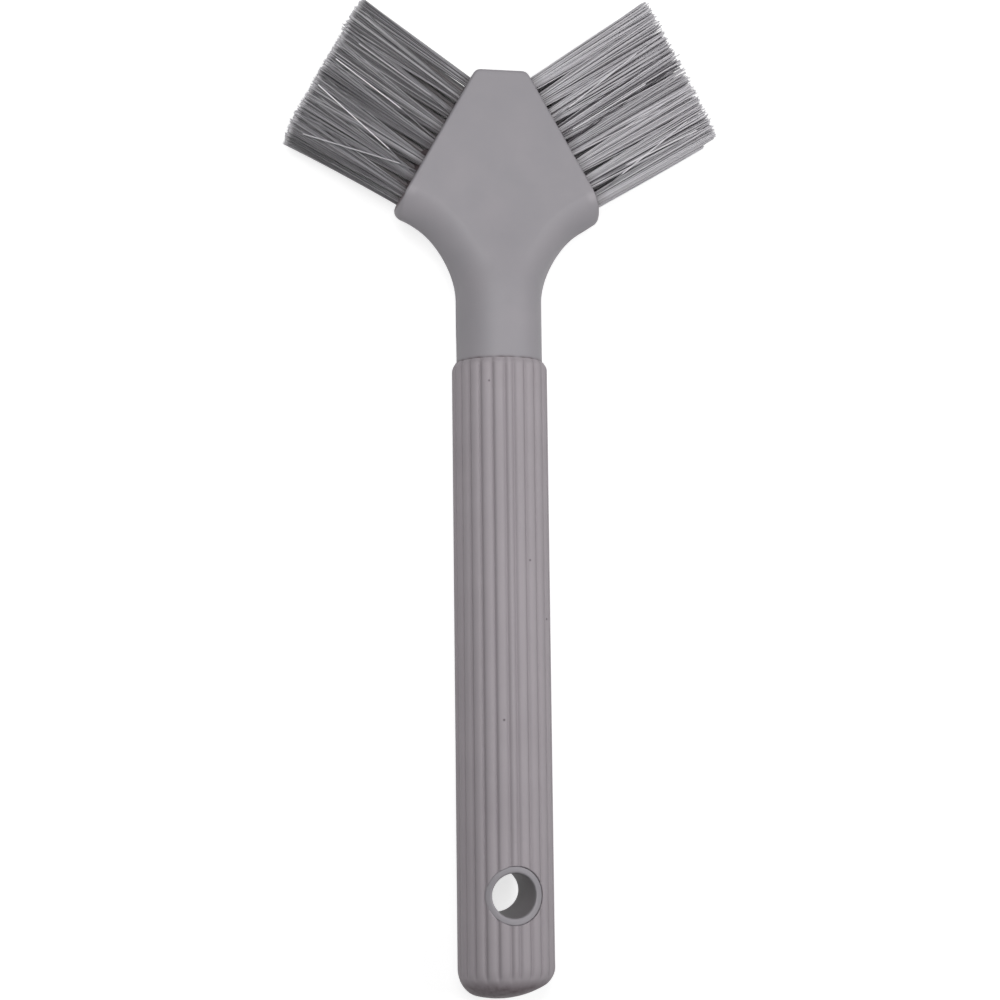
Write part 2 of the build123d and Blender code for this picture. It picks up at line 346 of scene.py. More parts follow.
grain = add_node(tree, "ShaderNodeTexNoise",
                 {"Scale": 1 / (rubber_grain_width * MM), "Detail": 2.0}, {"Vector": place})
relief = add_node(tree, "ShaderNodeBump", {"Strength": 0.3, "Distance": grain_height * MM},
                  {"Height": grain.outputs["Fac"]})
skin = add_node(tree, "ShaderNodeBsdfPrincipled", {"Roughness": 0.66, "IOR": 1.48},
                {"Base Color": painted_shade.outputs[2], "Normal": relief.outputs["Normal"]})
tree.links.new(skin.outputs[0], output.inputs["Surface"])
print(f"{rubber.name}: {len(tree.nodes)} nodes, grain {rubber_grain_width} mm wide")

# %% [markdown]
# ## Nylon filament
# The bristles are drawn nylon of a pale grey. A drawn filament has no grain and shines along its
# length, but each one differs slightly in tone, and one colour for all would look like a solid
# block. So each filament in the mesh carries a number of its own, and a colour ramp turns that
# number to a tone. Painted shade darkens the roots, and a cut tip is pale.

# %% Nylon
root_shade_cover = 0.88

nylon, tree, output = new_material("drawn_nylon_filament")
number = add_node(tree, "ShaderNodeAttribute", {"attribute_name": "filament_tone"})
tone = add_node(tree, "ShaderNodeValToRGB", None, {"Fac": number.outputs["Fac"]})
tone.color_ramp.elements[0].color = linear("#48454A")
tone.color_ramp.elements[1].color = linear("#F4F2F6")
pale = tone.color_ramp.elements.new(0.1)
pale.color = linear("#7E7C81")
root = add_node(tree, "ShaderNodeAttribute", {"attribute_name": "filament_root"})
# Painted shade: a dark reddish colour mixed in towards the roots.
shade_amount = add_node(tree, "ShaderNodeMath", {"operation": "MULTIPLY", 1: root_shade_cover},
                {0: root.outputs["Fac"]})
painted_shade = add_node(tree, "ShaderNodeMix", {"data_type": "RGBA", 7: linear("#443539")},
                 {0: shade_amount.outputs[0], 6: tone.outputs["Color"]})
tip = add_node(tree, "ShaderNodeAttribute", {"attribute_name": "filament_tip"})
whitened = add_node(tree, "ShaderNodeMix", {"data_type": "RGBA", 7: linear("#D8D6DA")},
                    {0: tip.outputs["Fac"], 6: painted_shade.outputs[2]})
filament = add_node(tree, "ShaderNodeBsdfPrincipled", {"Roughness": 0.34, "IOR": 1.53},
                    {"Base Color": whitened.outputs[2]})
tree.links.new(filament.outputs[0], output.inputs["Surface"])
print(f"{nylon.name}: {len(tree.nodes)} nodes")

# %% [markdown]
# ## Brass wire
# The anchors in the bottom of the holes are flat brass wire. The die that it is drawn through
# leaves lines much finer than a pixel. They are drawn here as a coarser noise, 0.08 mm wide, that
# makes the shine uneven. The anchors are hidden, so they keep their CAD mesh and get a new finish.

# %% Brass wire
draw_line_width = 0.08

brass, tree, output = new_material("drawn_brass_wire")
place = add_node(tree, "ShaderNodeTexCoord").outputs["Object"]
lines = add_node(tree, "ShaderNodeTexNoise", {"Scale": 1 / (draw_line_width * MM)},
                 {"Vector": place})
shine = add_node(tree, "ShaderNodeMapRange", {"To Min": 0.25, "To Max": 0.45},
                 {"Value": lines.outputs["Fac"]})
wire = add_node(tree, "ShaderNodeBsdfPrincipled",
                {"Base Color": linear("#C9A75E"), "Metallic": 1.0}, {"Roughness": shine.outputs[0]})
tree.links.new(wire.outputs[0], output.inputs["Surface"])

for side in ("left", "right"):
    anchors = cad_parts[f"anchors_{side}"]
    anchors.data.materials.clear()
    anchors.data.materials.append(brass)
print("materials:", [m.name for m in bpy.data.materials if m.users])


# %% [markdown]
# ## Making a piece
# Every new piece is a mesh from points and faces. It rides on the brush's one body, takes the
# material that it is given, and hides the CAD nodes that it replaces.


# %% Piece helper
def add_piece(name, points, faces, material, stands_for=(), sharp_angle=40):
    """Make a mesh object from points in millimetres along the handle, and join it to the model."""
    mesh = bpy.data.meshes.new(name)
    mesh.from_pydata(to_row(points), [], faces)
    mesh.materials.append(material)
    mesh.polygons.foreach_set("use_smooth", [True] * len(mesh.polygons))
    mesh.set_sharp_from_angle(angle=math.radians(sharp_angle))
    piece = bpy.data.objects.new(name, mesh)
    bpy.context.scene.collection.objects.link(piece)
    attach(piece, "root")
    if stands_for:
        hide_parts(*stands_for)
    return piece


def set_numbers(piece, name, numbers):
    """Give each point of a mesh a number that its material can read."""
    attribute = piece.data.attributes.new(name, "FLOAT", "POINT")
    attribute.data.foreach_set("value", np.asarray(numbers, np.float32))


# %% [markdown]
# ## Where the tufts are
# The holes in the head and the tufts in them have to agree, and both follow the CAD tufts. The
# axis of a CAD tuft is the line from the middle of its root end to the middle of its tips, so it
# can be read from the mesh: its first guess is the direction in which the points spread most.

# %% Read the axis of each tuft
end_slice = 0.2


def tuft_axis(node):
    """Middle of the root end, and middle of the tips, of a CAD tuft."""
    corners = from_row([v.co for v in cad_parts[node].data.vertices])
    corners = np.unique(corners.round(3), axis=0)
    outward = np.array([np.sign(corners[:, 0].mean()), 0.5, 0])
    spread = np.linalg.svd(corners - corners.mean(0), full_matrices=False)[2][0]
    along = spread * np.sign(spread @ outward)
    for _ in range(3):
        reach = corners @ along
        root = corners[reach < reach.min() + end_slice].mean(0)
        tip = corners[reach > reach.max() - end_slice].mean(0)
        along = (tip - root) / np.linalg.norm(tip - root)
    return root, tip


tuft_nodes = sorted(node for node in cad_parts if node.startswith("tuft_"))
tuft_axes = {node: tuft_axis(node) for node in tuft_nodes}
print(len(tuft_nodes), "tufts, the first", [point.round(2) for point in tuft_axes[tuft_nodes[0]]])

# %% [markdown]
# ## Head and neck
# A moulded form like this flows: the round neck sinks into the flat face without an edge, and the
# shoulders are rounded over. A stack of solids gives creases there. So the form is written as a
# depth function, which is negative inside the plastic and zero on its surface. Simple forms are
# joined by functions that round the seam, and a mesh is then laid over the zero surface.


# %% Ways to join two forms
def join_softly(a, b, width):
    """Both forms, with the corner between them filled over this width."""
    overlap = np.maximum(width - np.abs(a - b), 0)
    return np.minimum(a, b) - overlap**2 / (4 * width)


def cut_rounded(a, b, radius, power=2.0):
    """What two forms share, with the edge rounded. A power below 2 makes the rounding flatter."""
    u, v = a + radius, b + radius
    bend = (np.maximum(u, 0) ** power + np.maximum(v, 0) ** power) ** (1 / power)
    return np.minimum(np.maximum(u, v), 0) + bend - radius


def ease(share):
    """A smooth step from 0 to 1."""
    share = np.clip(share, 0, 1)
    return share * share * (3 - 2 * share)


# %% [markdown]
# The head is a plate cut by three lines: the slanted sides that hold the bristles, the flat top,
# and the concave shoulders, of which the right one runs out straight. The front and back edges of
# the shoulders are rounded nearly to the parting line, but those of the sides only a little. The
# neck is a round bar that turns to a wide low ellipse and sinks under the face of the plate.

# %% Sizes of the head and its holes
slant = math.radians(side_face_angle)
shoulder_round = 7.0
shoulder_power = 1.55
straight_from = math.radians(31)
head_edge_radius = 0.8
top_corner_width = 1.1
low_corner_radius = {"left": 3.0, "right": 2.2}
blend_length = 36.0
blend_half_width = 19.0
blend_sink = 3.4
seam_width_low, seam_widening, seam_length = 0.3, 2.8, 14
neck_start = grip_length - 4

right_holes = []
for node in tuft_nodes:
    if node.startswith(("tuft_right_front", "tuft_right_middle")):
        hole_root, hole_tip = tuft_axes[node]
        hole_way = (hole_tip - hole_root) / np.linalg.norm(hole_tip - hole_root)
        right_holes.append((hole_root, hole_way))
print(len(right_holes), "tuft holes in the front right quarter of the head")


# %% The depth function of the head
def head_depth(points):
    """Depth function of the head and neck, the same front and back."""
    x, height, z = np.abs(points[:, 0]), points[:, 1], np.abs(points[:, 2])
    # plate between its two faces, and the shoulders
    aside, above = x - neck_radius - shoulder_radius, np.maximum(height, neck_end) - neck_end
    from_centre = np.hypot(aside, above)
    onward = aside * math.cos(straight_from) + above * math.sin(straight_from)
    beyond = above * math.cos(straight_from) - aside * math.sin(straight_from)
    from_centre = np.where((points[:, 0] > 0) & (onward > 0), beyond, from_centre)
    shoulder = shoulder_radius - from_centre
    face = z - head_half_thickness
    plate = cut_rounded(shoulder, face, shoulder_round, shoulder_power)
    plate = np.maximum(plate, neck_start - height)
    # slanted sides and flat top
    side = (x - head_top_half_width) * math.cos(slant) + (height - head_top) * math.sin(slant)
    top = height - head_top
    outline = -join_softly(-side, -top, top_corner_width)
    low_corner = np.where(points[:, 0] < 0, low_corner_radius["left"], low_corner_radius["right"])
    corner = low_corner + (head_edge_radius - low_corner) * ease(z / head_half_thickness)
    head = cut_rounded(plate, outline, corner)
    # neck
    share = (height - neck_end) / blend_length
    wide = neck_radius + ease(share) * (blend_half_width - neck_radius)
    thick = neck_radius + ease(share) * (head_half_thickness - blend_sink - neck_radius)
    neck = (np.hypot(x / wide, z / thick) - 1) * thick
    neck = np.maximum(neck, np.maximum(neck_start - height, height - neck_end - blend_length))
    seam_width = seam_width_low + seam_widening * ease((height - neck_end) / seam_length)
    body = join_softly(head, neck, seam_width)
    # holes for the tufts
    for root, way in right_holes:
        offset = np.stack([x, height, z], 1) - root
        along = offset @ way
        across = np.sqrt(np.maximum((offset**2).sum(1) - along**2, 0))
        body = np.maximum(body, -np.maximum(across - tuft_hole_radius, -along))
    return body


# %% [markdown]
# To lay the mesh, the function is read on a grid of points 0.25 mm apart. Each cell that the
# surface crosses gets one point, and each grid line that it crosses gets a square between the four
# cells around it. The points then slide down the slope of the function on to the surface itself,
# which takes the steps of the grid away. The brush is the same front and back, so only half of the
# grid is worked out.


# %% Points and squares where the function changes sign
def cover(values, low, step):
    """Points and squares of a closed mesh round the cells in which values change sign."""
    inside = values < 0
    corners = sum(inside[i : i - 1 or None, j : j - 1 or None, k : k - 1 or None].astype(int)
                  for i in (0, 1) for j in (0, 1) for k in (0, 1))
    crossed = (corners > 0) & (corners < 8)
    number = np.full(crossed.shape, -1)
    number[crossed] = np.arange(crossed.sum())
    points = (np.argwhere(crossed) + 0.5) * step + low
    squares = []
    for axis in range(3):
        b, c = (axis + 1) % 3, (axis + 2) % 3
        change = np.diff(inside.astype(int), axis=axis)
        spots = np.argwhere(change)
        going_in = change[tuple(spots.T)] > 0
        ring = []
        for step_b, step_c in ((-1, -1), (0, -1), (0, 0), (-1, 0)):
            cell = spots.copy()
            cell[:, b] += step_b
            cell[:, c] += step_c
            ring.append(number[tuple(cell.T)])
        ring = np.stack(ring, 1)
        ring[going_in] = ring[going_in, ::-1]
        squares.append(ring)
    return points, np.concatenate(squares)


# %% Smooth the points, and slide them on to the surface
def relax(points, squares):
    """Move each point half way to the middle of the squares round it."""
    middles = points[squares].mean(1)
    total, count = np.zeros_like(points), np.zeros(len(points))
    for corner in range(4):
        np.add.at(total, squares[:, corner], middles)
        np.add.at(count, squares[:, corner], 1)
    return (points + total / count[:, None]) / 2


def settle(points, depth, rounds=3):
    """Slide points down the slope of a depth function on to its surface."""
    probe, gentlest, longest_slide = 0.02, 0.2, 0.3
    for _ in range(rounds):
        here = depth(points)
        slope = np.stack([(depth(points + probe * way) - here) / probe for way in np.eye(3)], 1)
        steepness = np.maximum((slope**2).sum(1), gentlest)
        slide = np.clip(here, -longest_slide, longest_slide) / steepness
        points = points - slide[:, None] * slope
    return points


# %% Mesh of the head and neck
step = 0.25
reach = np.array([27.5, head_top + 1, 11.5])
axes = [np.arange(-reach[0], reach[0], step),
        np.arange(neck_start - 1, reach[1], step),
        np.arange(step / 2, reach[2], step)]
half = np.stack([a.ravel() for a in np.meshgrid(*axes, indexing="ij")], 1)
values = head_depth(half).reshape([len(a) for a in axes])
values = np.concatenate([values[:, :, ::-1], values], axis=2)
grid_low = np.array([axes[0][0], axes[1][0], -axes[2][-1]])
head_points, head_squares = cover(values, grid_low, step)
for _ in range(2):
    head_points = settle(relax(settle(head_points, head_depth), head_squares), head_depth)
head = add_piece("head_and_neck", head_points, head_squares.tolist(), polypropylene,
                 ["handle_core"])
print("head and neck:", len(head_points), "points")

# %% [markdown]
# Each point of the head carries two more numbers for its material. One is painted shade, which lies
# on the slanted sides between the tufts and in the joint with the grip. The other is a painted
# highlight, which shows as a paler ridge at the outer end of each shoulder, stronger on the right.

# %% Painted shade and highlight of the head
shade_cover = 0.85
side_shade_inset, side_shade_step = 0.5, 0.4
side_shade_half_width, side_shade_fade = 6.4, 0.6
rim_shade_lift, rim_shade_width, rim_shade_patchy = 0.1, 0.36, 0.3
ridge_inset, ridge_width, ridge_from, ridge_reach = 6.0, 1.2, 4, 1.5
ridge_highlight_share = {"left": 0.3, "right": 0.5}

across, height, out = np.abs(head_points).T
beside = (across - head_top_half_width) * math.cos(slant) + (height - head_top) * math.sin(slant)
# Painted shade on the slanted sides between the tufts, faded out towards the front and back and
# below the shoulders.
side_shade = shade_cover * ease((beside + side_shade_inset) / side_shade_step)
side_shade *= ease((side_shade_half_width - out) / side_shade_fade)
side_shade = np.where(height > neck_end + shoulder_radius, side_shade, 0)
turn = np.arctan2(head_points[:, 0], head_points[:, 2])
# Painted shade in the joint with the grip: a thin, uneven dark band on the neck just above the rim.
rim_shade = shade_cover * np.exp(-(((height - grip_length - rim_shade_lift) / rim_shade_width) ** 2))
rim_shade *= 1 - rim_shade_patchy * (1 - np.sin(7 * turn) * np.sin(17 * turn + 1))
set_numbers(head, "painted_shade_mask", side_shade + rim_shade)

# Painted highlight: a paler band along the ridge where each shoulder starts to round over, stronger
# on the right.
from_ridge = np.hypot(across - neck_radius - shoulder_radius, height - neck_end)
from_ridge -= shoulder_radius + ridge_inset
ridge_highlight = np.exp(-((from_ridge / ridge_width) ** 2)) * (out > ridge_from)
ridge_highlight *= ease(2 + beside / ridge_reach)
ridge_highlight *= np.where(head_points[:, 0] > 0, ridge_highlight_share["right"], ridge_highlight_share["left"])
set_numbers(head, "painted_ridge_highlight", ridge_highlight)
print("dusty points:", (side_shade + rim_shade > 0.1).sum(), "rubbed points:", (ridge_highlight > 0.1).sum())

# %% [markdown]
# ## Eyelet
# The eyelet is a collar of the same hard plastic, in a window of the grip. Its rim follows the
# round of the handle, and the edge of the hole is rounded generously, so that a hook slides in.
# Its section is drawn once, from the middle of the hole's wall over the rim and down outside, and
# is carried round the hole. The back is the same section turned over.

# %% Rings of points for the eyelet
mouth_width, mouth_depth = 0.6, 0.55
rim_round = 0.3
collar_depth = 3.2
collar_radius = hole_radius + eyelet_wall
foot_radius = collar_radius + 1.2
quarter_turn = np.linspace(0, np.pi / 2, 9)
section = [(hole_radius, depth) for depth in (7.0, 4.0, 2.4, 1.6, 1.0)]
section += [(hole_radius + mouth_width * (1 - np.cos(t)), mouth_depth * (1 - np.sin(t)))
            for t in quarter_turn]
section += [(collar_radius - rim_round * (1 - np.sin(t)), rim_round * (1 - np.cos(t)))
            for t in quarter_turn]
section += [(collar_radius, collar_depth), (foot_radius, collar_depth + 0.1)]
radius, below = np.array(section).T
turns = np.linspace(0, 2 * np.pi, 128, endpoint=False)[:, None]
across, up = radius * np.sin(turns), radius * np.cos(turns)
out = np.sqrt(eyelet_radius**2 - across**2) - below
front_half = np.stack([across, hole_height + up, out], -1)
back_half = np.stack([across, hole_height + up, -out], -1)[:, ::-1]
rings = np.concatenate([front_half, back_half], axis=1)
around, over = rings.shape[:2]
print(around, "sections of", over, "points round the hole")


# %% Squares of a grid of points
def wrap(rows, columns):
    """Squares of a grid of points that closes on itself both ways."""
    i, j = np.meshgrid(np.arange(rows), np.arange(columns), indexing="ij")
    i, j = i.ravel(), j.ravel()
    k, m = (i + 1) % rows, (j + 1) % columns
    return np.stack([i * columns + j, i * columns + m, k * columns + m, k * columns + j], 1)


# %% Mesh of the eyelet
hole_shade = 0.5
eyelet = add_piece("eyelet_collar", rings.reshape(-1, 3), wrap(around, over).tolist(),
                   polypropylene)
# Painted shade inside the hanging hole: its wall gets darker from the mouth inward.
in_hole = hole_shade * ease((below - 0.3) / 1.6) * (radius < hole_radius + 0.05)
set_numbers(eyelet, "painted_shade_mask", np.tile(np.concatenate([in_hole, in_hole[::-1]]), around))
print("eyelet:", around * over, "points")

# %% [markdown]
# ## Parting line
# The two halves of the mould meet in the middle of the head's edge. They leave a hair line there,
# which stands out a little and catches the light along the shoulders. It is a fine bead, laid along
# the edge of the head by sliding points on to its surface, without leaving the middle plane.


# %% Tube along a path
def sweep(path, radius, sides, ends=False):
    """Points and squares of a tube along a path. Its radius may change on the way."""
    path = np.asarray(path, float)
    way = np.gradient(path, axis=0)
    way /= np.linalg.norm(way, axis=1)[:, None]
    helper = np.where(np.abs(way[:, 2:]) < 0.9, [[0, 0, 1.0]], [[1.0, 0, 0]])
    u = np.cross(way, helper)
    u /= np.linalg.norm(u, axis=1)[:, None]
    v = np.cross(way, u)
    angle = np.linspace(0, 2 * np.pi, sides, endpoint=False)[None, :, None]
    size = np.broadcast_to(radius, len(path))[:, None, None]
    points = path[:, None] + size * (np.cos(angle) * u[:, None] + np.sin(angle) * v[:, None])
    last = (len(path) - 1) * sides
    squares = wrap(len(path), sides)[:last].tolist()
    if ends:
        squares += [list(range(sides))[::-1], list(range(last, last + sides))]
    return points.reshape(-1, 3), squares


# %% Bead along the neck and the shoulders
bead_radius = 0.18
bead_sides = 6
taper_points = 12

heights = np.linspace(grip_length + 0.5, neck_end, 30)
arc = np.linspace(0, math.radians(72), 90)
neck_line = np.stack([np.full(len(heights), neck_radius), heights], 1)
shoulder_line = np.stack([neck_radius + shoulder_radius * (1 - np.cos(arc)),
                          neck_end + shoulder_radius * np.sin(arc)], 1)
edge_line = np.concatenate([neck_line, shoulder_line[1:]])
edge_line = np.concatenate([edge_line, np.zeros((len(edge_line), 1))], 1)
edge_line = settle(edge_line, head_depth)
edge_line[:, 2] = 0
from_end = np.minimum(np.arange(len(edge_line)), np.arange(len(edge_line))[::-1])
bead_radii = bead_radius * np.clip(from_end / taper_points, 0.2, 1)
for side, sign in (("left", -1), ("right", 1)):
    points, squares = sweep(edge_line * [sign, 1, 1], bead_radii, bead_sides, ends=True)
    add_piece(f"parting_line_{side}", points, squares, polypropylene,
              sharp_angle=180)
print("parting lines:", len(edge_line), "points on each side")

# %% [markdown]
# ## Grip
# The grip is a soft tube with wide, gently rounded ribs and narrow grooves between them. The
# grooves fade into the rounded end, and a little mould flash swells that end on the right. A tube
# pulled through rings of points would blur the grooves there. So the surface is found by sending
# rays out from the handle's axis: straight out along the ribs, and fanned out downwards at the end.
# Where a ray meets the surface is a point of the mesh, and the rays stand closer together where a
# groove is.

# %% Sizes of the grip
groove_depth = 0.5
groove_half_width = 0.54
rib_crown = 0.04
front_rib_angle = 10.8
ribs_per_side = 11
groove_start, groove_fade = 5.0, 2.4
crown_radius = 22.0
crown_offset = -2.0
end_rounding = 4.0
flash_rounding = 2.0
flash_height, flash_middle, flash_length, flash_spread = 0.22, 5.5, 1.8, 0.25
rim_bevel, rim_bevel_length = 0.8, 1.3
rim_relief, rim_softness = 0.6, 0.35

rib_angle = (180 - front_rib_angle) / ribs_per_side
half_ring = front_rib_angle / 2 + rib_angle * np.arange(ribs_per_side + 1)
groove_angles = np.radians(np.concatenate([half_ring, half_ring + 180]))
print(len(groove_angles), "grooves round the grip")


# %% The grooves
def groove_share(turn):
    """How deep in a groove a direction is, from 0 to 1, and how far it is from the groove."""
    apart = np.abs((turn[..., None] - groove_angles + np.pi) % (2 * np.pi) - np.pi)
    distance = apart.min(-1) * grip_radius
    return np.exp(-((distance / groove_half_width) ** 2)), distance


def fade_in(height):
    """How far the grooves have come in at a height, from 0 in the rounded end to 1."""
    return ease((height - groove_start + groove_fade / 2) / groove_fade)


# %% The depth function of the grip
def grip_depth(points):
    """Depth function of the grip."""
    x, height, z = points[..., 0], points[..., 1], points[..., 2]
    share, distance = groove_share(np.arctan2(x, z))
    half_rib = math.radians(rib_angle) * grip_radius / 2
    crown = rib_crown * (1 - np.clip(distance / half_rib, 0, 1)) ** 2
    relief = fade_in(height) * (groove_depth * share + crown)
    flash_turn = np.arctan2(x, z) - np.pi / 2
    flash = (flash_turn / flash_spread) ** 2 + ((height - flash_middle) / flash_length) ** 2
    ribbed = np.hypot(x, z) - grip_radius + relief - flash_height * np.exp(-flash)
    to_rim = (grip_length - height) / rim_bevel_length
    bevel = np.hypot(x, z) - grip_radius + rim_relief * relief + rim_bevel * (1 - to_rim)
    wall = np.where(height > grip_length / 2, -join_softly(-ribbed, -bevel, rim_softness), ribbed)
    dome = np.sqrt((x - crown_offset) ** 2 + (height - crown_radius) ** 2 + z**2) - crown_radius
    dome = np.where(height < crown_radius, dome, -crown_radius)
    corner = end_rounding + (flash_rounding - end_rounding) * ease(x / grip_radius)
    return cut_rounded(wall, dome, corner)


# %% Rays from inside the grip
def shoot(start, way, furthest=40.0):
    """How far rays go from inside the grip to its surface, by halving the distance."""
    near, far = np.zeros(start.shape[:-1]), np.full(start.shape[:-1], furthest)
    for _ in range(36):
        middle = (near + far) / 2
        outside = grip_depth(start + way * middle[..., None]) > 0
        near, far = np.where(outside, near, middle), np.where(outside, middle, far)
    return near


# %% [markdown]
# A rib gets twelve columns, most of them beside its grooves. The rows stand closer together at the
# two ends and round the eyelet's window.

# %% Mesh of the grip
beside_groove = np.array([0, 0.13, 0.27, 0.42, 0.6, 0.9]) / grip_radius
columns = []
for start, end in zip(groove_angles, np.roll(groove_angles, -1)):
    width = (end - start) % (2 * np.pi)
    columns += [*(start + beside_groove), start + width / 2, *(end - beside_groove[:0:-1])]
columns = np.array(columns) % (2 * np.pi)
columns = np.unique(columns.round(5))

fan_height = 12.0
fan = np.radians(np.concatenate([np.linspace(88, 60, 12), np.linspace(58, 5, 42)]))
plain_rows = np.concatenate([
    np.arange(fan_height, 16.6, 0.5),
    np.arange(16.6, 32.0, 0.25),
    np.arange(32.0, grip_length - 3, 1.0),
    np.linspace(grip_length - 3, grip_length, 26),
])
row_height = np.concatenate([np.full(len(fan), fan_height), plain_rows])
row_dip = np.concatenate([fan, np.zeros(len(plain_rows))])
turn, dip = np.meshgrid(columns, row_dip)
start = np.zeros((*turn.shape, 3))
start[..., 1] = row_height[:, None]
way = np.stack([np.sin(turn) * np.cos(dip), -np.sin(dip), np.cos(turn) * np.cos(dip)], -1)
skin_points = start + way * shoot(start, way)[..., None]
print("skin of the grip:", len(row_height), "rows of", len(columns), "points")

# %% [markdown]
# At the neck the rim turns in over the plastic and down between the two. Soft rubber shrinks a
# little as it cools, so its edge is not quite even. Three waves of different lengths give that.

# %% Rim of the grip
neck_gap = 0.22
rim_ragged = 0.2

rim_row = skin_points[-1]
outward = rim_row * [1, 0, 1] / np.hypot(rim_row[:, 0], rim_row[:, 2])[:, None]
waves = np.sin(23 * columns) + np.sin(37 * columns + 1) + np.sin(61 * columns + 2)
inner_radius = neck_radius + neck_gap + (rim_ragged * waves / 3)[:, None]
inner = [outward * inner_radius + [0, grip_length - drop, 0] for drop in (0.05, 0.3, 1.5)]
skin_points = np.concatenate([skin_points, inner])
row_count, column_count = skin_points.shape[:2]
squares = wrap(row_count, column_count)[: (row_count - 1) * column_count]
skin_points = skin_points.reshape(-1, 3)
print("grip:", row_count, "rows of", column_count, "points")

# %% [markdown]
# The window for the eyelet is cut by leaving out the squares inside it. The points on its edge
# slide out to a true circle, and a wall goes down from them.

# %% Window in the grip
window_gap, window_shift = 0.08, 0.17
window_radius = hole_radius + eyelet_wall + window_gap
window_centre = np.array([window_shift, hole_height])
from_hole = np.linalg.norm(skin_points[:, :2] - window_centre, axis=1)
in_window = from_hole < window_radius
kept = squares[~in_window[squares].all(1)]
edge = np.unique(kept[in_window[kept]])
turn_radius = np.hypot(skin_points[edge, 0], skin_points[edge, 2])
stretch = (window_radius / from_hole[edge])[:, None]
skin_points[edge, :2] = window_centre + (skin_points[edge, :2] - window_centre) * stretch
side_of = np.sign(skin_points[edge, 2])
skin_points[edge, 2] = side_of * np.sqrt(turn_radius**2 - skin_points[edge, 0] ** 2)

lowest_row = list(range(column_count))
faces = kept.tolist() + [lowest_row[::-1]]
grip = add_piece("ribbed_grip", skin_points, faces, rubber, ["grip_sleeve"])
print(len(edge), "points on the edge of the window, front and back")

# %% Wall of the window
window_wall = 3.0

shape = bmesh.new()
shape.from_mesh(grip.data)
shape.verts.ensure_lookup_table()
on_edge = set(edge.tolist())
rim_edges = [e for e in shape.edges if e.is_boundary and all(v.index in on_edge for v in e.verts)]
wall = bmesh.ops.extrude_edge_only(shape, edges=rim_edges)["geom"]
for corner in (item for item in wall if isinstance(item, bmesh.types.BMVert)):
    corner.co.z += -window_wall * MM if corner.co.z > butt.z else window_wall * MM
loose = [v for v in shape.verts if not v.link_faces]
bmesh.ops.delete(shape, geom=loose, context="VERTS")
bmesh.ops.recalc_face_normals(shape, faces=shape.faces)
shape.to_mesh(grip.data)
shape.free()
print(len(rim_edges), "edges round the window")

# %% How deep in a groove each point lies
corners = from_row([v.co for v in grip.data.vertices])
share, _ = groove_share(np.arctan2(corners[:, 0], corners[:, 2]))
share *= fade_in(corners[:, 1])
set_numbers(grip, "groove_depth", share)
print("grip:", len(corners), "points,", (share > 0.5).sum(), "of them in a groove")

# %% [markdown]
# ## Tufts
# Each tuft is nearly seventy straight ends of filament, folded round an anchor and packed in a
# hole. They leave the hole tightly together and splay on the way. The block is trimmed flat after
# filling, so the tips end close to one plane. Each filament is a thin tube of its own: a hair
# system would hide how many there are and would not stand for the CAD tuft. The roots are spread
# in a sunflower spiral, which packs a circle evenly.

# %% Sizes of a tuft
filaments_in_tuft = 68
filament_radius = 0.132
filament_sides = 5
filament_shares = np.array([0, 0.2, 0.4, 0.6, 0.8, 0.965, 1])
foot_lift = 1.5
tip_reach = 3.7
depth_reach = 2.3
tip_jitter = 0.6
bow = 0.12
corner_drop, corner_sharpness = 0.6, 8
outer_row_shade = 0.1
golden_angle = math.pi * (3 - math.sqrt(5))
print(len(tuft_nodes) * filaments_in_tuft, "filaments to make")

# %% [markdown]
# The two blocks differ. The left one lies in shade and the right one in light, and that is painted
# into their tones: the left block's are much darker. The left block's tips are also worn less
# evenly. Two of the numbers below are given for the low and the high end of a block: how far the
# bristles reach past the last tufts, and how much longer than the CAD tufts they are there. Next
# come the range of the tones and how few filaments are near its light end, the share that is drawn
# darkest, how far painted shade covers the middle tufts, and how unevenly the tips are trimmed. The
# last two say how much of its hole a tuft fills, and how late its filaments splay.

# %% What sets the two blocks apart
blocks = {
    "left": {
        "reach": (2.6, 0.7), "longer": (-0.3, -2.0), "tones": (0.03, 0.42), "few": 2.0,
        "darkest": 0.22, "painted_shade": 1.2, "uneven": 0.24, "fills": 0.72, "splay": 1.4,
    },
    "right": {
        "reach": (1.2, 1.9), "longer": (3.2, 2.1), "tones": (0.47, 0.89), "few": 1.0,
        "darkest": 0.1, "painted_shade": 0.27, "uneven": 0.15, "fills": 0.9, "splay": 1.0,
    },
}


def trim_line(side):
    """The two ends of the line that the tips of a block are trimmed to."""
    tips = [tuft_axes[node] for node in tuft_nodes if node.startswith(f"tuft_{side}_front")]
    tips.sort(key=lambda axis: axis[1][1])
    ends = []
    for end, other in ((0, -1), (-1, 0)):
        root, tip = tips[end]
        away = (tip - tips[other][1]) * [1, 1, 0]
        away *= blocks[side]["reach"][end] / np.linalg.norm(away)
        axis = (tip - root) / np.linalg.norm(tip - root)
        ends.append((tip + away + axis * blocks[side]["longer"][end]) * [1, 1, 0])
    return ends


trim_lines = {side: trim_line(side) for side in blocks}
for side, (low, high) in trim_lines.items():
    print(f"{side} block trimmed over {np.linalg.norm(high - low):.1f} mm")


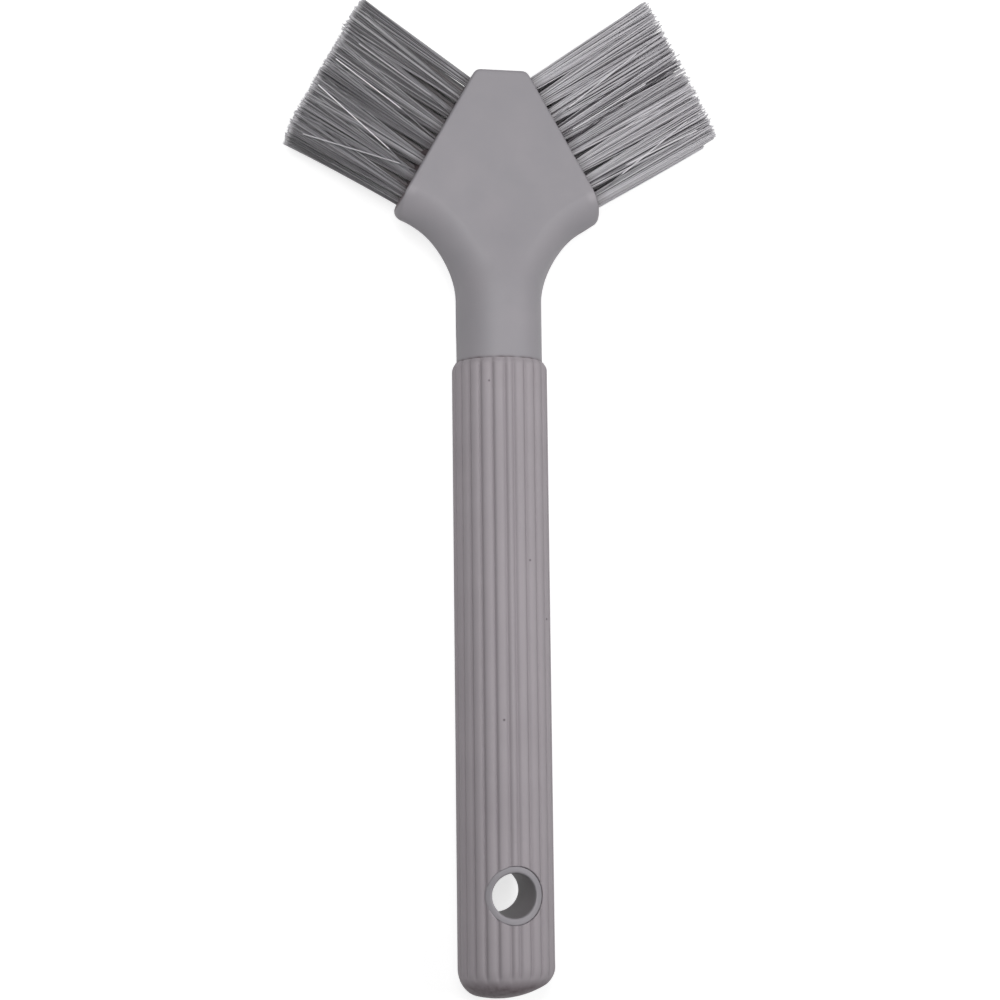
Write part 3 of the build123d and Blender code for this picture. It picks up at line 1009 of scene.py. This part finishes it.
# %% Mesh of many filaments
def add_filaments(name, paths, tones, shade_share, stands_for=(), radius=filament_radius):
    """One mesh of many filaments, each a thin tube along its path."""
    points, squares = [], []
    for path in paths:
        tube, tube_squares = sweep(path, radius, filament_sides, ends=True)
        first = len(points) * len(tube)
        squares += [[corner + first for corner in square] for square in tube_squares]
        points.append(tube)
    piece = add_piece(name, np.concatenate(points), squares, nylon, stands_for)
    shares = np.tile(np.repeat(filament_shares, filament_sides), len(paths))
    tones = np.reshape(tones, (len(paths), -1))
    tones = np.broadcast_to(tones, (len(paths), len(filament_shares)))
    set_numbers(piece, "filament_tone", np.repeat(tones, filament_sides))
    # The root numbers paint shade on the filaments, from the root outwards.
    set_numbers(piece, "filament_root", np.clip(1 - shares / shade_share, 0, 1))
    set_numbers(piece, "filament_tip", shares == 1)
    return piece

# %% [markdown]
# A tuft is laid out across its own axis: sideways along the block, and forward out of its front.
# The roots fill the hole, and the tips spread until they meet the next tuft or the end of the
# block. Each filament is then cut where it meets the trim line, and bent a little, because a worn
# bristle is never quite straight.


# %% The ways of a tuft
def tuft_ways(root, tip, along):
    """The way that a tuft points, and the ways sideways and forward across it."""
    axis = (tip - root) / np.linalg.norm(tip - root)
    sideways = along - (along @ axis) * axis
    sideways /= np.linalg.norm(sideways)
    forward = np.cross(axis, sideways)
    return axis, sideways, forward * np.sign(forward[2])


# %% Where filaments start and end
def spread_filaments(room, fills, random):
    """Steps sideways and forward from the axis of a tuft to each filament's foot and tip."""
    spots = np.arange(filaments_in_tuft)
    out = np.sqrt((spots + 0.5) / filaments_in_tuft)
    turn = spots * golden_angle + random.uniform(0, 2 * np.pi)
    spread = np.stack([np.cos(turn), np.sin(turn)], 1) * out[:, None]
    to_high, to_low = np.minimum(tip_reach * random.uniform(0.8, 1.2, 2), room)
    inner = np.clip((to_high + to_low) / tip_reach - 1, 0, 1)
    tip_sideways = np.where(spread[:, 0] > 0, to_high, to_low) * spread[:, 0]
    tip_sideways += random.normal(0, tip_jitter, len(spots)) * inner
    tip_forward = depth_reach * spread[:, 1] + random.normal(0, tip_jitter / 2, len(spots))
    return spread * tuft_hole_radius * fills, np.stack([tip_sideways, tip_forward], 1)


# %% One tuft
def make_tuft(node, random):
    """All the filaments of one tuft, as one mesh."""
    side = node.split("_")[1]
    block = blocks[side]
    low, high = trim_lines[side]
    block_length = np.linalg.norm(high - low)
    along = (high - low) / block_length
    facing = np.array([along[1], -along[0], 0])
    root, tip = tuft_axes[node]
    axis, sideways, forward = tuft_ways(root, tip, along)
    tip = root + (tip - root) * (((low - root) @ facing) / ((tip - root) @ facing))
    room = (high - tip) @ along, (tip - low) @ along
    feet, tips = spread_filaments(room, block["fills"], random)
    bows = random.normal(0, bow, (filaments_in_tuft, 2))
    tuft_drop = abs(random.normal(0, block["uneven"]))
    share = filament_shares[:, None]
    splay = share ** block["splay"]
    paths = []
    for to_foot, to_tip, to_side in zip(feet, tips, bows):
        foot = root + axis * foot_lift + sideways * to_foot[0] + forward * to_foot[1]
        end = tip + sideways * to_tip[0] + forward * to_tip[1]
        cut = (low - foot) @ facing / ((end - foot) @ facing)
        from_middle = 2 * ((end - low) @ along) / block_length - 1
        shorter = corner_drop * abs(from_middle) ** corner_sharpness
        shorter += tuft_drop + random.normal(0, block["uneven"])
        end = foot + (end - foot) * (cut - shorter / np.linalg.norm(end - foot))
        straight = axis * ((end - foot) @ axis)
        path = foot + straight * share + (end - foot - straight) * splay
        bent = sideways * to_side[0] + forward * to_side[1]
        paths.append(path + np.sin(np.pi * share) * share * bent)
    # The tone range of a block paints it darker or paler as a whole: painted shade on the left
    # block, painted light on the right.
    dark, light = block["tones"]
    tones = dark + (light - dark) * random.uniform(0, 1, len(paths)) ** block["few"]
    tones = np.where(random.uniform(0, 1, len(paths)) < block["darkest"], 0, tones)
    # How far along the filaments the painted shade reaches: far on the middle row, little on the
    # front and back rows.
    shade_share = block["painted_shade"] if "middle" in node else outer_row_shade
    add_filaments(f"bristles_{node[5:]}", paths, tones, shade_share, [node])
    return len(paths)


# %% All the tufts
random = np.random.default_rng(46)
filament_count = sum(make_tuft(node, random) for node in tuft_nodes)
print(filament_count, "filaments in", len(tuft_nodes), "tufts")

# %% [markdown]
# A few filaments have sprung out of their tuft and lie over the others, where they catch the light.
# Each one leaves the root of its tuft, runs straight over the block for a stretch, and dips in
# again. The stretch is given by its two ends.

# %% Filaments that lie over the blocks
stray_radius = 0.155
stray_shade = 0.1
root_tones = [0.1, 0.1, 0.15]
mouth_lift = 1.0
dip_share = 0.08
tail_length = 0.4

# for each tuft, the two ends of a stretch and its tone; the near-white tones are a painted
# highlight
strays = {
    "tuft_left_front_5": [((-25.3, 211.0, 7.2), (-40.2, 221.8, 7.4), 1.0)],
    "tuft_left_front_3": [((-28.0, 200.9, 7.1), (-44.5, 215.2, 7.5), 1.0)],
    "tuft_left_front_2": [((-25.5, 197.4, 7.0), (-48.0, 203.3, 7.2), 0.6)],
    "tuft_left_front_7": [((-17.7, 214.4, 7.0), (-34.6, 225.8, 7.3), 0.5)],
    "tuft_right_front_1": [((31.2, 199.5, 7.0), (48.5, 208.5, 7.3), 0.95),
                           ((30.0, 197.2, 7.0), (46.0, 210.5, 7.3), 0.9)],
    "tuft_right_front_4": [((17.6, 207.6, 7.0), (35.7, 219.5, 7.3), 0.95)],
    "tuft_right_front_6": [((16.8, 213.2, 7.0), (33.5, 227.0, 7.3), 0.92)],
}
for node, stretches in strays.items():
    root, tip = tuft_axes[node]
    paths = []
    for start, end, _ in stretches:
        start, end = np.array(start), np.array(end)
        way = (end - start) / np.linalg.norm(end - start)
        away = np.array([math.copysign(math.cos(slant), start[0]), math.sin(slant), 0])
        face_gap = abs(start[0] - math.copysign(head_top_half_width, start[0])) * math.cos(slant)
        face_gap += (start[1] - head_top) * math.sin(slant)
        mouth = start - way * (face_gap / (way @ away))
        mouth[2] = root[2] + mouth_lift
        under, tail = start + (mouth - start) * dip_share, end + way * tail_length
        paths.append(np.array([root, mouth, under, start, (start + end) / 2, end, tail]))
    tones = [[*root_tones, *[tone] * 4] for _, _, tone in stretches]
    add_filaments(f"stray_{node[5:]}", paths, tones, stray_shade, radius=stray_radius)
print(len(strays), "tufts with stray filaments")
